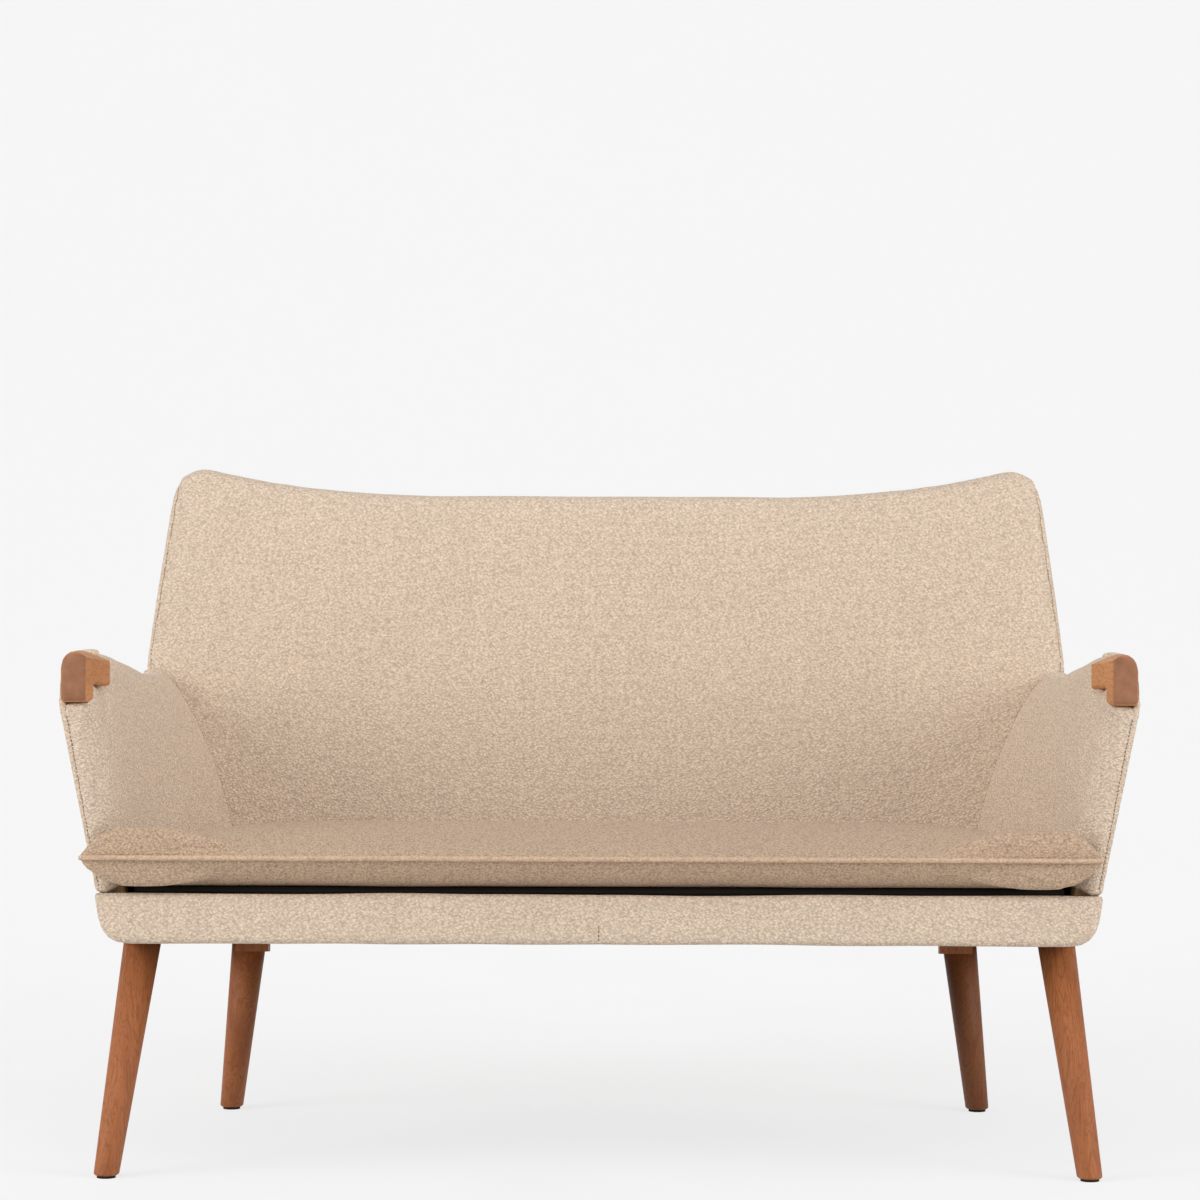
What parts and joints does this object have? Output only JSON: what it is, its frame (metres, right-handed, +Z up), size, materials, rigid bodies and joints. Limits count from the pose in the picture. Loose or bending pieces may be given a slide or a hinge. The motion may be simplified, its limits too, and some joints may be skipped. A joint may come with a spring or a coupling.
{
  "type": "high back settee",
  "caption": "Upholstered settee with a high winged-corner back, flared arms with wooden hand grips, a loose seat cushion and splayed turned legs.",
  "frame": {"origin": "centre of the settee's footprint on the floor", "axes": "+X to the right of someone who looks at the front, +Y towards the back, +Z up"},
  "size_m": [1.3094, 0.7536, 0.8692],
  "materials": {
    "wood": "satin stained hardwood",
    "beech": "bare beech",
    "wool": "nubby cream beige wool weave",
    "seat_wool": "finer tan wool weave",
    "wadding": "felted wadding",
    "jute": "woven jute",
    "dust_cloth": "thin black cloth",
    "felt": "dense dark felt"
  },
  "bodies": {
    "frame": {"front_leg_left": "wood", "front_leg_right": "wood", "rear_leg_left": "wood", "rear_leg_right": "wood", "rear_leg_block_left": "wood", "rear_leg_block_right": "wood", "grip_left": "wood", "grip_right": "wood", "front_seat_rail": "beech", "rear_seat_rail": "beech", "centre_bearer": "beech", "back_top_rail": "beech", "back_middle_rail": "beech", "side_seat_rail_left": "beech", "side_seat_rail_right": "beech", "front_leg_block_left": "beech", "front_leg_block_right": "beech", "arm_post_left": "beech", "arm_post_right": "beech", "arm_rail_left": "beech", "arm_rail_right": "beech", "back_post_left": "beech", "back_post_right": "beech", "grip_dowel_left": "beech", "grip_dowel_right": "beech", "inside_back_cover": "wool", "outside_back_cover": "wool", "inside_arm_cover_left": "wool", "inside_arm_cover_right": "wool", "outside_arm_cover_left": "wool", "outside_arm_cover_right": "wool", "front_band_left": "wool", "front_band_right": "wool", "inside_back_padding": "wadding", "seat_deck": "wadding", "arm_padding_left": "wadding", "arm_padding_right": "wadding", "seat_webbing": "jute", "back_hessian": "jute", "dust_cover": "dust_cloth", "glide_front_left": "felt", "glide_front_right": "felt", "glide_rear_left": "felt", "glide_rear_right": "felt"},
    "seat_cushion": {"cushion_top_cover": "seat_wool", "cushion_bottom_cover": "seat_wool", "cushion_core": "wadding", "cushion_piping": "seat_wool"}
  },
  "joints": [
    {"name": "cushion_lift", "type": "slide", "parent": "frame", "child": "seat_cushion", "axis": [0, -0.5736, 0.8192], "range_m": [0, 0.43]}
  ]
}
